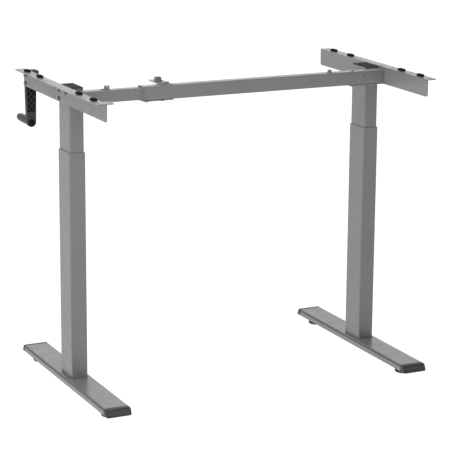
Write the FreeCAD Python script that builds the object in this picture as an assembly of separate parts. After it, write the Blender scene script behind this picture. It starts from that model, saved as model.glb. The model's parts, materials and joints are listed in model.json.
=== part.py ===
"""Height adjustable desk frame, worked by a hand crank, without its table top.

Millimetres. +Z is up and Z = 0 is the floor under the levelling feet. The user sits at the -Y side,
where the crank is, so +X is the user's right hand. The origin lies on the floor, midway between the
two legs. Every leg piece is drawn for the right leg about its own axis (X = 0, outer side +X) and
then moved to the right leg, or mirrored to the left leg.
"""
import FreeCAD
import Part
import math
import os

V = FreeCAD.Vector

# ---- driving dimensions ------------------------------------------------------------------------
LEG_SPACING = 874.0          # between the leg axes, as set here
LEG_X = LEG_SPACING / 2

FOOT_WIDTH, FOOT_HEIGHT, FOOT_LENGTH = 70.0, 20.0, 585.0
FOOT_WALL, FOOT_RADIUS = 2.0, 4.5
FOOT_CAP_LENGTH = 22.0
GROUND_CLEARANCE = 14.0      # floor to the underside of the foot
GLIDE_Y = 253.0              # levelling feet, in front of and behind the leg axis
GLIDE_RADIUS, GLIDE_THICKNESS = 24.0, 9.0
STUD_RADIUS = 4.0

LOWER_WIDTH, LOWER_DEPTH, LOWER_WALL, LOWER_RADIUS = 45.0, 80.0, 1.5, 3.0
UPPER_WIDTH, UPPER_DEPTH, UPPER_WALL, UPPER_RADIUS = 40.0, 75.0, 1.5, 3.0
LOWER_TOP = 647.0
UPPER_BOTTOM, UPPER_TOP = 204.0, 816.0
SLIDE_GAP = 0.06             # running clearance of the plastic slide pieces

CRANK_Z = 793.0              # height of the crank shaft and of the cross shaft
BEAM_LENGTH, BEAM_HEIGHT, BEAM_FLANGE, SHEET = 594.0, 47.0, 28.5, 2.5
BEAM_TOP = 820.0
PAD_HEIGHT = 6.0
PAD_Y = (-240.0, -142.0, 142.0, 240.0)
BOLT_ROWS = (CRANK_Z + 10.0, CRANK_Z - 12.0)   # heights of the two rows of holes in the web

BAR_HEIGHT, BAR_DEPTH, BAR_WALL, BAR_RADIUS = 37.0, 30.0, 2.0, 3.0
BAR_BOTTOM = 776.0
BAR_FRONT = UPPER_DEPTH / 2 + SHEET            # the bar lies behind the legs
INNER_BAR_HEIGHT, INNER_BAR_DEPTH, INNER_BAR_RADIUS, INNER_BAR_WALL = 32.0, 25.0, 2.5, 1.8
OUTER_BAR_MOUTH, INNER_BAR_END = 261.0, -245.0
BAR_END_GAP = 1.0            # bar end to the web of the side beam
BRACKET_LENGTH = 105.0
INNER_TOP_BOLT_X, OUTER_TOP_BOLT_X = 358.0, -296.0
INNER_RIVET_X, OUTER_RIVET_X = 372.0, -365.0
M4, M6 = 4.0, 6.0            # screw sizes
M6_HOLE = 3.1                # radius of its clearance hole
TABLE_HOLE = 3.2             # radius of the holes for the screws into the table top
FACE_SCREW_X = -398.0

SCREW_RADIUS, SCREW_BOTTOM = 8.0, 206.0
NUT_BOTTOM, NUT_HEIGHT = 530.0, 26.0
CROWN_TEETH, PINION_TEETH = 24, 12
CROWN_RADIUS = 14.0          # pitch radius at the wide end
GEAR_FACE = 4.5
HEX_FLATS = 10.0
HEX_ROD_LENGTH, HEX_SLEEVE_LENGTH = 640.0, 620.0

CRANK_ARM = 125.0            # crank shaft axis to grip axis
ARM_BACK = -303.0            # face of the arm that looks towards the desk
ARM_THICKNESS = 15.0
HUB_RADIUS, ARM_END_RADIUS = 15.5, 13.0
GRIP_LENGTH, GRIP_RADIUS = 84.0, 11.5
PIN_RADIUS, PIN_HEAD_RADIUS, PIN_RECESS = 4.0, 7.5, 8.0

# ---- worked out --------------------------------------------------------------------------------
FOOT_BOTTOM = GROUND_CLEARANCE
FOOT_TOP = FOOT_BOTTOM + FOOT_HEIGHT
BAR_MIDDLE_Y = BAR_FRONT + BAR_DEPTH / 2
BAR_MIDDLE_Z = BAR_BOTTOM + BAR_HEIGHT / 2
BAR_TOP = BAR_BOTTOM + BAR_HEIGHT
TOP_BOLT_Y = BAR_MIDDLE_Y - 3.0
TOP_BOLT_RADIUS, RIVET_RADIUS = 3.5, 2.5
FACE_SCREW_Z = CRANK_Z + 4.0
WEB_INNER = UPPER_WIDTH / 2                    # from the leg axis
PINION_RADIUS = CROWN_RADIUS * PINION_TEETH / CROWN_TEETH
CONE_DISTANCE = math.hypot(CROWN_RADIUS, PINION_RADIUS)


# ---- small tools -------------------------------------------------------------------------------
def block(x0, x1, y0, y1, z0, z1):
    return Part.makeBox(x1 - x0, y1 - y0, z1 - z0, V(x0, y0, z0))


def rod(radius, start, end):
    """Round bar from one point to another."""
    axis = end - start
    return Part.makeCylinder(radius, axis.Length, start, axis)


def pipe(outer, inner, start, end):
    return rod(outer, start, end).cut(rod(inner, start, end))


def outline(points):
    return Part.Face(Part.makePolygon([V(*p) for p in points] + [V(*points[0])]))


def rounded_face(width, depth, radius):
    """Rectangle with round corners, centred in the XY plane."""
    x, y, r = width / 2, depth / 2, radius
    s = r * math.sqrt(0.5)
    edges = []
    for cx, cy, a in ((x - r, y - r, 0), (r - x, y - r, 90), (r - x, r - y, 180), (x - r, r - y, 270)):
        turn = [math.radians(a + step) for step in (0, 45, 90)]
        edges.append(Part.Arc(*[V(cx + r * math.cos(t), cy + r * math.sin(t), 0) for t in turn]).toShape())
    joined = []
    for this, following in zip(edges, edges[1:] + edges[:1]):
        joined += [this, Part.makeLine(this.Vertexes[-1].Point, following.Vertexes[0].Point)]
    return Part.Face(Part.Wire(joined))


def bar(width, depth, radius, z0, z1):
    """Upright bar with round corners, centred on the Z axis."""
    shape = rounded_face(width, depth, radius).extrude(V(0, 0, z1 - z0))
    return shape.translate(V(0, 0, z0))


def lying_along_x(shape):
    """Turn an upright bar so that it runs along X and its width becomes its height."""
    return shape.rotate(V(0, 0, 0), V(0, 1, 0), 90)


def lying_along_y(shape):
    """Turn an upright bar so that it runs along Y and its depth becomes its height."""
    return shape.rotate(V(0, 0, 0), V(1, 0, 0), 90)


def hexagon(flats, z0, z1):
    corner = flats / math.sqrt(3)
    points = [(corner * math.cos(math.radians(60 * i)), corner * math.sin(math.radians(60 * i)), z0)
              for i in range(6)]
    return outline(points).extrude(V(0, 0, z1 - z0))


def aimed(shape, place, direction):
    """Move a shape built along +Z so that it starts at place and points along direction."""
    turn = FreeCAD.Rotation(V(0, 0, 1), direction)
    shape = shape.copy()
    shape.Placement = FreeCAD.Placement(place, turn)
    return shape


def socket_screw(size, length, place, direction):
    """Button head screw with a hexagon socket. The head stands on place, the shank runs on."""
    head_radius, head_height = size * 0.95, size * 0.55
    head = rod(head_radius, V(0, 0, -head_height), V(0, 0, 0))
    head = head.makeFillet(head_height * 0.75, [head.Edges[i] for i in (0,) if head.Edges[i].Closed])
    head = head if head.isValid() else rod(head_radius, V(0, 0, -head_height), V(0, 0, 0))
    screw = head.fuse(rod(size / 2, V(0, 0, 0), V(0, 0, length)))
    screw = screw.cut(hexagon(size * 0.62, -head_height - 1, -head_height * 0.35))
    return aimed(screw.removeSplitter(), place, direction)


def hex_bolt(size, length, place, direction):
    """Hexagon head bolt. The head stands on place, the shank runs on."""
    head = hexagon(size * 1.65, -size * 0.65, 0)
    crown = Part.makeCone(size * 0.78, size * 1.35, size * 0.65, V(0, 0, -size * 0.65))
    bolt = head.common(crown).fuse(rod(size / 2, V(0, 0, 0), V(0, 0, length)))
    return aimed(bolt.removeSplitter(), place, direction)


def bevel_gear(teeth, radius, face, bore, hub_radius, hub_length, tooth_at_start):
    """Straight bevel gear about Z with its cone point at the origin, opening towards +Z.

    Its teeth are slim, so that the pair has backlash all the way round."""
    cone = math.asin(radius / CONE_DISTANCE)
    along = V(math.sin(cone), 0, math.cos(cone))
    outward = V(math.cos(cone), 0, -math.sin(cone))
    near = (CONE_DISTANCE - face) / CONE_DISTANCE
    pitch = 2 * math.pi * radius / teeth
    tip, root = 0.24 * pitch, 0.36 * pitch

    def at(height, scale):
        return (along * CONE_DISTANCE + outward * height) * scale

    inner, outer = at(-root, near), at(-root, 1.0)
    back = outer.z + 0.6
    profile = [(bore, 0, inner.z), (inner.x, 0, inner.z), (outer.x, 0, outer.z), (outer.x, 0, back),
               (hub_radius, 0, back), (hub_radius, 0, back + hub_length), (bore, 0, back + hub_length)]
    gear = outline(profile).revolve(V(0, 0, 0), V(0, 0, 1), 360)
    side = V(0, 1, 0)
    ends = []
    for scale in (near, 1.0):
        low, high = at(-root * 1.15, scale), at(tip, scale)
        wide, slim = side * (0.23 * pitch * scale), side * (0.10 * pitch * scale)
        corners = [low - wide, high - slim, high + slim, low + wide]
        ends.append(Part.makePolygon(corners + corners[:1]))
    tooth = Part.makeLoft(ends, True, True)
    start = 0.0 if tooth_at_start else 0.5
    copies = []
    for i in range(teeth):
        copy = tooth.copy()
        copy.rotate(V(0, 0, 0), V(0, 0, 1), 360.0 * (i + start) / teeth)
        copies.append(copy)
    return gear.fuse(copies).removeSplitter()


# ---- one leg, about its own axis, outer side +X ------------------------------------------------
def foot_beam():
    half = FOOT_LENGTH / 2
    tube = bar(FOOT_WIDTH, FOOT_HEIGHT, FOOT_RADIUS, -half, half)
    hollow = bar(FOOT_WIDTH - 2 * FOOT_WALL, FOOT_HEIGHT - 2 * FOOT_WALL, FOOT_RADIUS - FOOT_WALL,
                 -half - 1, half + 1)
    tube = lying_along_y(tube.cut(hollow))
    tube.translate(V(0, 0, FOOT_BOTTOM + FOOT_HEIGHT / 2))
    for y in (-GLIDE_Y, GLIDE_Y):
        nut = hexagon(14.0, FOOT_BOTTOM + FOOT_WALL - 0.2, FOOT_BOTTOM + FOOT_WALL + 7.0)
        nut.translate(V(0, y, 0))
        tube = tube.fuse(nut)
        tube = tube.cut(rod(STUD_RADIUS + 0.05, V(0, y, FOOT_BOTTOM - 1), V(0, y, FOOT_TOP - 4)))
    for x, y in base_bolt_places():
        tube = tube.cut(rod(9.0, V(x, y, FOOT_BOTTOM - 1), V(x, y, FOOT_BOTTOM + FOOT_WALL + 1)))
        tube = tube.cut(rod(4.2, V(x, y, FOOT_TOP - FOOT_WALL - 1), V(x, y, FOOT_TOP + 1)))
    return tube.removeSplitter()


def base_bolt_places():
    return [(x, y) for x in (-12.0, 12.0) for y in (-29.0, 29.0)]


def base_bolts():
    under = FOOT_TOP - FOOT_WALL
    return Part.makeCompound([hex_bolt(8.0, 9.5, V(x, y, under), V(0, 0, 1)) for x, y in base_bolt_places()])


def foot_cap():
    """Plastic end cap with a sloping face, for the rear end. It plugs into the foot."""
    y0 = FOOT_LENGTH / 2
    y1 = y0 + FOOT_CAP_LENGTH
    x = FOOT_WIDTH / 2
    side = [(-x, y0, FOOT_BOTTOM), (-x, y1 - 1.5, FOOT_BOTTOM), (-x, y1, FOOT_BOTTOM + 2.0),
            (-x, y0 + 13.0, FOOT_TOP - 1.2), (-x, y0 + 10.5, FOOT_TOP), (-x, y0, FOOT_TOP)]
    wedge = outline(side).extrude(V(FOOT_WIDTH, 0, 0))
    plan = rounded_face(FOOT_WIDTH, 2 * FOOT_CAP_LENGTH + 20, 9.0).extrude(V(0, 0, 60))
    wedge = wedge.common(plan.translate(V(0, y0 - 10, 0)))
    shell = bar(FOOT_WIDTH, FOOT_HEIGHT, FOOT_RADIUS, -y1 - 1, -y0 + 1)
    shell = lying_along_y(shell).translate(V(0, 0, FOOT_BOTTOM + FOOT_HEIGHT / 2))
    cap = wedge.common(shell)
    inset = FOOT_WALL + 0.1
    plug = bar(FOOT_WIDTH - 2 * inset, FOOT_HEIGHT - 2 * inset, 3.0, -y0, 16 - y0)
    core = bar(FOOT_WIDTH - 2 * inset - 4, FOOT_HEIGHT - 2 * inset - 4, 1.0, 0.0 - y0, 20 - y0)
    plug = lying_along_y(plug.cut(core)).translate(V(0, 0, FOOT_BOTTOM + FOOT_HEIGHT / 2))
    return cap.fuse(plug).removeSplitter()


def front(shape):
    """The same piece for the front end."""
    return shape.mirror(V(0, 0, 0), V(0, 1, 0))


def glide(y):
    """Levelling foot: a steel stud in a moulded base."""
    base = rod(GLIDE_RADIUS, V(0, y, 0), V(0, y, GLIDE_THICKNESS - 3))
    base = base.fuse(Part.makeCone(GLIDE_RADIUS, 12.0, 3.0, V(0, y, GLIDE_THICKNESS - 3)))
    base = base.removeSplitter()
    rim = [e for e in base.Edges if e.Closed and abs(e.BoundBox.ZMax) < 0.01]
    base = base.makeFillet(1.2, rim)
    stud_foot = 3.0
    base = base.cut(rod(STUD_RADIUS, V(0, y, stud_foot), V(0, y, GLIDE_THICKNESS + 1)))
    stud = rod(STUD_RADIUS, V(0, y, stud_foot), V(0, y, FOOT_TOP - 8))
    return Part.makeCompound([base, stud])


def lower_leg():
    """Lower tube with the base plate welded in its foot end."""
    tube = bar(LOWER_WIDTH, LOWER_DEPTH, LOWER_RADIUS, FOOT_TOP, LOWER_TOP)
    inner_radius = LOWER_RADIUS - LOWER_WALL
    wide, deep = LOWER_WIDTH - 2 * LOWER_WALL, LOWER_DEPTH - 2 * LOWER_WALL
    plate_top = FOOT_TOP + 6.0
    tube = tube.cut(bar(wide, deep, inner_radius, plate_top, LOWER_TOP + 1))
    for x, y in base_bolt_places():
        tube = tube.cut(rod(4.0, V(x, y, FOOT_TOP - 1), V(x, y, plate_top + 1)))
    return tube.removeSplitter()


def guide_bush():
    """Plastic liner in the mouth of the lower tube that the upper tube runs in."""
    wide, deep = LOWER_WIDTH - 2 * LOWER_WALL, LOWER_DEPTH - 2 * LOWER_WALL
    ring = bar(wide, deep, LOWER_RADIUS - LOWER_WALL, LOWER_TOP - 70, LOWER_TOP - 0.5)
    hole = bar(UPPER_WIDTH + 2 * SLIDE_GAP, UPPER_DEPTH + 2 * SLIDE_GAP, UPPER_RADIUS,
               LOWER_TOP - 71, LOWER_TOP)
    return ring.cut(hole)


def nut_tube():
    """Tube that stands on the base plate and carries the lift nut."""
    foot = FOOT_TOP + 6.0
    tube = pipe(14.0, 10.0, V(0, 0, foot), V(0, 0, NUT_BOTTOM))
    flange = bar(30.0, 46.0, 4.0, foot, foot + 3)
    return tube.fuse(flange.cut(rod(10.0, V(0, 0, foot - 1), V(0, 0, foot + 4)))).removeSplitter()


def lift_nut():
    nut = rod(14.0, V(0, 0, NUT_BOTTOM), V(0, 0, NUT_BOTTOM + NUT_HEIGHT))
    nut = nut.fuse(rod(9.9, V(0, 0, NUT_BOTTOM - 18), V(0, 0, NUT_BOTTOM)))
    return nut.cut(rod(SCREW_RADIUS + 0.06, V(0, 0, NUT_BOTTOM - 19), V(0, 0, UPPER_TOP))).removeSplitter()


def upper_tube(with_crank):
    tube = bar(UPPER_WIDTH, UPPER_DEPTH, UPPER_RADIUS, UPPER_BOTTOM, UPPER_TOP)
    inside = bar(UPPER_WIDTH - 2 * UPPER_WALL, UPPER_DEPTH - 2 * UPPER_WALL, UPPER_RADIUS - UPPER_WALL,
                 UPPER_BOTTOM - 1, UPPER_TOP + 1)
    tube = tube.cut(inside)
    tube = tube.cut(rod(9.0, V(-30, 0, CRANK_Z), V(-10, 0, CRANK_Z)))
    if with_crank:
        tube = tube.cut(rod(8.0, V(0, -50, CRANK_Z), V(0, -30, CRANK_Z)))
    for y, z in web_bolt_places():
        tube = tube.cut(rod(3.05, V(10, y, z), V(30, y, z)))
    return tube


def slide_shoe():
    """Plastic shoe on the lower end of the upper tube, running in the lower tube."""
    wide, deep = LOWER_WIDTH - 2 * LOWER_WALL - 2 * SLIDE_GAP, LOWER_DEPTH - 2 * LOWER_WALL - 2 * SLIDE_GAP
    low, high = UPPER_BOTTOM - 4, UPPER_BOTTOM + 50
    shoe = bar(wide, deep, 2.0, low, high)
    shoe = shoe.cut(bar(UPPER_WIDTH, UPPER_DEPTH, UPPER_RADIUS, UPPER_BOTTOM, high + 1))
    return shoe.cut(bar(UPPER_WIDTH - 8, UPPER_DEPTH - 8, 2.0, low - 1, high + 1))


def top_cap():
    cap = bar(UPPER_WIDTH, UPPER_DEPTH, UPPER_RADIUS, UPPER_TOP, UPPER_TOP + 2.0)
    rim = [e for e in cap.Edges if e.BoundBox.ZMin > UPPER_TOP + 1.9]
    cap = cap.makeFillet(1.0, rim)
    skirt = bar(UPPER_WIDTH - 2 * UPPER_WALL - 0.2, UPPER_DEPTH - 2 * UPPER_WALL - 0.2, 1.5,
                UPPER_TOP - 3, UPPER_TOP)
    skirt = skirt.cut(bar(UPPER_WIDTH - 8, UPPER_DEPTH - 8, 1.0, UPPER_TOP - 4, UPPER_TOP))
    return cap.fuse(skirt).removeSplitter()


HOUSING_BOTTOM, HOUSING_TOP = CRANK_Z - 36.0, UPPER_TOP - 3.2
BEARING_RADIUS, BEARING_HEIGHT = 13.0, 8.0
SHAFT_RADIUS, SHAFT_GAP, BUSH_RADIUS = 5.0, 0.05, 7.0


def gearbox_housing(with_crank):
    """Cast housing in the head of the upper tube, open upwards under the cap."""
    wide, deep = UPPER_WIDTH - 2 * UPPER_WALL - 0.1, UPPER_DEPTH - 2 * UPPER_WALL - 0.1
    body = bar(wide, deep, 1.5, HOUSING_BOTTOM, HOUSING_TOP)
    room = block(-16.2, 16.2, -17.0, 17.0, CRANK_Z - 14.5, HOUSING_TOP + 1)
    body = body.cut(room)
    body = body.cut(rod(SHAFT_RADIUS + 1, V(0, 0, HOUSING_BOTTOM - 1), V(0, 0, CRANK_Z)))
    body = body.cut(rod(BEARING_RADIUS, V(0, 0, CRANK_Z - 24), V(0, 0, CRANK_Z - 13)))
    body = body.cut(rod(BUSH_RADIUS, V(-30, 0, CRANK_Z), V(-10, 0, CRANK_Z)))
    if with_crank:
        body = body.cut(rod(BUSH_RADIUS, V(0, -50, CRANK_Z), V(0, -10, CRANK_Z)))
    for y, z in web_bolt_places():
        body = body.cut(rod(3.0, V(8.0, y, z), V(30, y, z)))
    return body.removeSplitter()


def gearbox_bearings(with_crank):
    """Ball bearing of the screw, drawn as its ring, and the plain bushes of the shafts."""
    bore = SHAFT_RADIUS + SHAFT_GAP
    low = CRANK_Z - 24
    rings = [pipe(BEARING_RADIUS, bore, V(0, 0, low), V(0, 0, low + BEARING_HEIGHT))]
    rings.append(pipe(BUSH_RADIUS, bore, V(-19.9, 0, CRANK_Z), V(-16.4, 0, CRANK_Z)))
    if with_crank:
        rings.append(pipe(BUSH_RADIUS, bore, V(0, -35.9, CRANK_Z), V(0, -17.2, CRANK_Z)))
    return Part.makeCompound(rings)


def lead_screw():
    thread = rod(SCREW_RADIUS, V(0, 0, SCREW_BOTTOM), V(0, 0, HOUSING_BOTTOM - 3))
    journal = rod(SHAFT_RADIUS, V(0, 0, HOUSING_BOTTOM - 3), V(0, 0, CRANK_Z - 5.5))
    return thread.fuse(journal).removeSplitter()


def crown_gear():
    gear = bevel_gear(CROWN_TEETH, CROWN_RADIUS, GEAR_FACE, SHAFT_RADIUS, 8.0, 0.9, False)
    return gear.rotate(V(0, 0, 0), V(1, 0, 0), 180).translate(V(0, 0, CRANK_Z))


def cross_pinion():
    """Pinion on the cross shaft, on the inner side of the leg, with a tooth pointing down."""
    gear = bevel_gear(PINION_TEETH, PINION_RADIUS, GEAR_FACE, 3.0, 5.0, 1.0, True)
    gear.rotate(V(0, 0, 0), V(0, 1, 0), -90)
    return gear.translate(V(0, 0, CRANK_Z))


def crank_pinion():
    """Pinion on the crank shaft, in front of the leg axis, with a tooth pointing down."""
    return cross_pinion().rotate(V(0, 0, 0), V(0, 0, 1), 90)


def web_bolt_places():
    """Screws from the web into the head of the leg: y and z."""
    return [(-33.0, BOLT_ROWS[0]), (15.0, BOLT_ROWS[0]), (-33.0, BOLT_ROWS[1])]


def web_hole_places():
    """Further holes in the web, for other fittings."""
    end = BEAM_LENGTH / 2 - 11
    return [(-62.0, BOLT_ROWS[0]), (-62.0, BOLT_ROWS[1]), (135.0, BOLT_ROWS[1]),
            (-end, BOLT_ROWS[0]), (-end, BOLT_ROWS[1])]


def side_beam(with_tab):
    """Folded sheet angle under the table top: an upright web and a flange that points outwards."""
    half = BEAM_LENGTH / 2
    outer, inner = WEB_INNER + SHEET, WEB_INNER
    web = block(inner, outer, -half, half, BEAM_TOP - BEAM_HEIGHT, BEAM_TOP - 1.0)
    low = BEAM_TOP - BEAM_HEIGHT + 1
    corners = [e for e in web.Edges if e.BoundBox.ZMax < low and e.BoundBox.YLength < 1]
    web = web.makeFillet(7.0, corners)
    flange = block(inner, inner + BEAM_FLANGE, -half, half, BEAM_TOP - SHEET, BEAM_TOP)
    tips = [e for e in flange.Edges if e.BoundBox.XMin > outer + 5 and e.BoundBox.ZLength > 1]
    flange = flange.makeFillet(5.0, tips)
    beam = web.fuse(flange)
    if with_tab:
        tab = block(inner - 20, inner + 1, half - 32, half, BEAM_TOP - SHEET, BEAM_TOP)
        ends = [e for e in tab.Edges if e.BoundBox.XMax < inner - 19 and e.BoundBox.ZLength > 1]
        beam = beam.fuse(tab.makeFillet(5.0, ends))
        x, y = inner - 11, half - 12
        beam = beam.cut(rod(TABLE_HOLE, V(x, y, BEAM_TOP - 5), V(x, y, BEAM_TOP + 1)))
    beam = beam.removeSplitter()
    for y, z in web_bolt_places() + web_hole_places():
        beam = beam.cut(rod(M6_HOLE, V(inner - 1, y, z), V(outer + 1, y, z)))
    for y in table_hole_places():
        x = inner + BEAM_FLANGE * 0.55
        beam = beam.cut(rod(TABLE_HOLE, V(x, y, BEAM_TOP - 5), V(x, y, BEAM_TOP + 1)))
    for y in PAD_Y:
        x = pad_x()
        beam = beam.cut(rod(3.0, V(x, y, BEAM_TOP - 5), V(x, y, BEAM_TOP + 1)))
    return beam


def pad_x():
    return WEB_INNER + BEAM_FLANGE * 0.45


def table_hole_places():
    return (-281.0, -190.0, -90.0, 90.0, 190.0, 281.0)


def beam_pads():
    """Rubber pads, each pressed with its stem into a hole of the flange."""
    pads = []
    for y in PAD_Y:
        pad = bar(13.0, 24.0, 3.0, BEAM_TOP, BEAM_TOP + PAD_HEIGHT).translate(V(pad_x(), y, 0))
        rim = [e for e in pad.Edges if e.BoundBox.ZMin > BEAM_TOP + PAD_HEIGHT - 0.1]
        pad = pad.makeFillet(1.0, rim)
        stem = rod(3.0, V(pad_x(), y, BEAM_TOP - SHEET - 1.0), V(pad_x(), y, BEAM_TOP))
        pads.append(pad.fuse(stem).removeSplitter())
    return Part.makeCompound(pads)


def web_bolts(places, length):
    x = WEB_INNER + SHEET
    return [socket_screw(M6, length, V(x, y, z), V(-1, 0, 0)) for y, z in places]


def end_bracket():
    """Folded bracket between the leg and the crossbar: an upright plate and a shelf under the bar."""
    x0, x1 = WEB_INNER - BRACKET_LENGTH, WEB_INNER
    back = UPPER_DEPTH / 2
    plate = block(x0, x1, back, back + SHEET, BAR_BOTTOM - SHEET, BAR_TOP - 3)
    shelf = block(x0, x1, back, back + SHEET + BAR_DEPTH, BAR_BOTTOM - SHEET, BAR_BOTTOM)
    bracket = plate.fuse(shelf).removeSplitter()
    ends = [e for e in bracket.Edges if e.BoundBox.YMin > back + BAR_DEPTH and e.BoundBox.ZLength > 1]
    bracket = bracket.makeFillet(4.0, ends)
    for x in bracket_bolt_places():
        bracket = bracket.cut(rod(M6_HOLE, V(x, BAR_MIDDLE_Y, BAR_BOTTOM - 5), V(x, BAR_MIDDLE_Y, BAR_TOP)))
    return bracket


def bracket_bolt_places():
    return (WEB_INNER - BRACKET_LENGTH + 14, WEB_INNER - 32)


def bracket_bolts(shank):
    """Bolts from below through the shelf into the crossbar."""
    low = BAR_BOTTOM - SHEET
    return [hex_bolt(M6, shank, V(x, BAR_MIDDLE_Y, low), V(0, 0, 1)) for x in bracket_bolt_places()]


# ---- crossbar, cross shaft and crank, in the whole frame ---------------------------------------
def crossbar_tube(height, depth, radius, wall, x0, x1):
    tube = bar(height, depth, radius, x0, x1).cut(bar(height - 2 * wall, depth - 2 * wall, radius - wall,
                                                      x0 - 1, x1 + 1))
    return lying_along_x(tube).translate(V(0, BAR_MIDDLE_Y, BAR_MIDDLE_Z))


def crossbar_inner():
    end = LEG_X + WEB_INNER - BAR_END_GAP
    tube = crossbar_tube(INNER_BAR_HEIGHT, INNER_BAR_DEPTH, INNER_BAR_RADIUS, INNER_BAR_WALL,
                         INNER_BAR_END, end)
    tube = tube.cut(top_hole(INNER_TOP_BOLT_X, TOP_BOLT_RADIUS))
    tube = tube.cut(top_hole(INNER_RIVET_X, RIVET_RADIUS))
    for x in bracket_bolt_places():
        place = V(LEG_X + x, BAR_MIDDLE_Y, BAR_BOTTOM)
        tube = tube.cut(rod(3.0, place, place + V(0, 0, 8)))
    return tube


def packing_strip():
    """Spacer that fills the gap between the shelf of the bracket and the slimmer inner bar."""
    gap = (BAR_HEIGHT - INNER_BAR_HEIGHT) / 2
    x1 = LEG_X + WEB_INNER - BAR_END_GAP
    x0 = LEG_X + WEB_INNER - BRACKET_LENGTH
    strip = block(x0, x1, BAR_FRONT + 4, BAR_FRONT + BAR_DEPTH - 4, BAR_BOTTOM, BAR_BOTTOM + gap)
    for x in bracket_bolt_places():
        place = V(LEG_X + x, BAR_MIDDLE_Y, BAR_BOTTOM - 1)
        strip = strip.cut(rod(3.1, place, place + V(0, 0, 8)))
    return strip


def crossbar_outer():
    end = -(LEG_X + WEB_INNER - BAR_END_GAP)
    tube = crossbar_tube(BAR_HEIGHT, BAR_DEPTH, BAR_RADIUS, BAR_WALL, end, OUTER_BAR_MOUTH)
    for x in bracket_bolt_places():
        place = V(-LEG_X - x, BAR_MIDDLE_Y, BAR_BOTTOM - 1)
        tube = tube.cut(rod(3.0, place, place + V(0, 0, 8)))
    for x in clamp_bolt_places():
        place = V(x, BAR_MIDDLE_Y, BAR_BOTTOM - 1)
        tube = tube.cut(rod(3.0, place, place + V(0, 0, 5)))
    tube = tube.cut(top_hole(OUTER_TOP_BOLT_X, TOP_BOLT_RADIUS))
    tube = tube.cut(top_hole(OUTER_RIVET_X, RIVET_RADIUS))
    for x, y in support_screw_places():
        tube = tube.cut(rod(3.0, V(x, y, BAR_TOP - BAR_WALL - 1), V(x, y, BAR_TOP + 1)))
    face = V(FACE_SCREW_X, BAR_FRONT + BAR_DEPTH + 1, FACE_SCREW_Z)
    return tube.cut(rod(M4 / 2, face, face - V(0, BAR_WALL + 2, 0)))


def crossbar_collar():
    """Plastic collar in the mouth of the outer bar that the inner bar slides through."""
    length, lip = 5.0, 1.2
    x0 = OUTER_BAR_MOUTH
    ring = bar(BAR_HEIGHT + 2 * lip, BAR_DEPTH + 2 * lip, BAR_RADIUS + lip, x0, x0 + length)
    ring = lying_along_x(ring)
    edges = [e for e in ring.Edges if e.BoundBox.XLength < 0.1]
    ring = ring.makeFillet(1.0, edges)
    height, depth = INNER_BAR_HEIGHT + 0.2, INNER_BAR_DEPTH + 0.2
    hole = bar(height, depth, INNER_BAR_RADIUS + 0.1, x0 - 1, x0 + length + 1)
    return ring.cut(lying_along_x(hole)).translate(V(0, BAR_MIDDLE_Y, BAR_MIDDLE_Z))


CLAMP_X = (OUTER_BAR_MOUTH - 84.0, OUTER_BAR_MOUTH - 0.5)


def clamp_bolt_places():
    return (CLAMP_X[0] + 25.0, CLAMP_X[1] - 13.0)


def clamp_plate():
    """Doubler under the outer bar that takes the two clamp bolts."""
    plate = block(CLAMP_X[0], CLAMP_X[1], BAR_FRONT + 1, BAR_FRONT + BAR_DEPTH, BAR_BOTTOM - 2.2, BAR_BOTTOM)
    upright = [e for e in plate.Edges if e.BoundBox.ZLength > 1]
    plate = plate.makeFillet(2.0, upright)
    for x in clamp_bolt_places():
        plate = plate.cut(rod(3.0, V(x, BAR_MIDDLE_Y, BAR_BOTTOM - 4), V(x, BAR_MIDDLE_Y, BAR_BOTTOM + 1)))
    return plate


def clamp_bolts():
    low = BAR_BOTTOM - 2.2
    reach = 2.2 + (BAR_HEIGHT - INNER_BAR_HEIGHT) / 2 - 0.3
    return Part.makeCompound([hex_bolt(M6, reach, V(x, BAR_MIDDLE_Y, low), V(0, 0, 1))
                              for x in clamp_bolt_places()])


SUPPORT_X = (178.0, 211.0)
SUPPORT_Y = (-20.0, BAR_FRONT + BAR_DEPTH - 3)


def middle_support():
    """Tab on the outer bar that carries the middle of the table top."""
    plate = block(SUPPORT_X[0], SUPPORT_X[1], SUPPORT_Y[0], SUPPORT_Y[1], BAR_TOP, BAR_TOP + SHEET)
    plate = plate.makeFillet(6.0, [e for e in plate.Edges if e.BoundBox.ZLength > 1])
    middle = sum(SUPPORT_X) / 2
    for y in (-10.0, 30.0):
        plate = plate.cut(rod(TABLE_HOLE, V(middle, y, BAR_TOP - 1), V(middle, y, BAR_TOP + 4)))
    for x, y in support_screw_places():
        plate = plate.cut(rod(M6_HOLE, V(x, y, BAR_TOP - 1), V(x, y, BAR_TOP + 4)))
    return plate


def support_screw_places():
    return [(SUPPORT_X[0] + 9.0, BAR_FRONT + 8.0), (SUPPORT_X[1] - 9.0, BAR_FRONT + 18.0)]


def support_screws():
    """Screws that hold the tab on the crossbar."""
    return [socket_screw(M6, SHEET + BAR_WALL, V(x, y, BAR_TOP + SHEET), V(0, 0, -1))
            for x, y in support_screw_places()]


def middle_support_pad():
    """Plastic block on the tab that the table top rests on, with a low step behind it."""
    middle = sum(SUPPORT_X) / 2
    low, top = BAR_TOP + SHEET, BEAM_TOP + PAD_HEIGHT
    pad = bar(16.0, 14.0, 2.5, low, top).translate(V(middle, 6.0, 0))
    pad = pad.makeFillet(1.2, [e for e in pad.Edges if e.BoundBox.ZMin > top - 0.1])
    step = bar(13.0, 10.0, 1.5, low, low + 3.5).translate(V(middle, 17.0, 0))
    return pad.fuse(step).removeSplitter()


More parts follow.
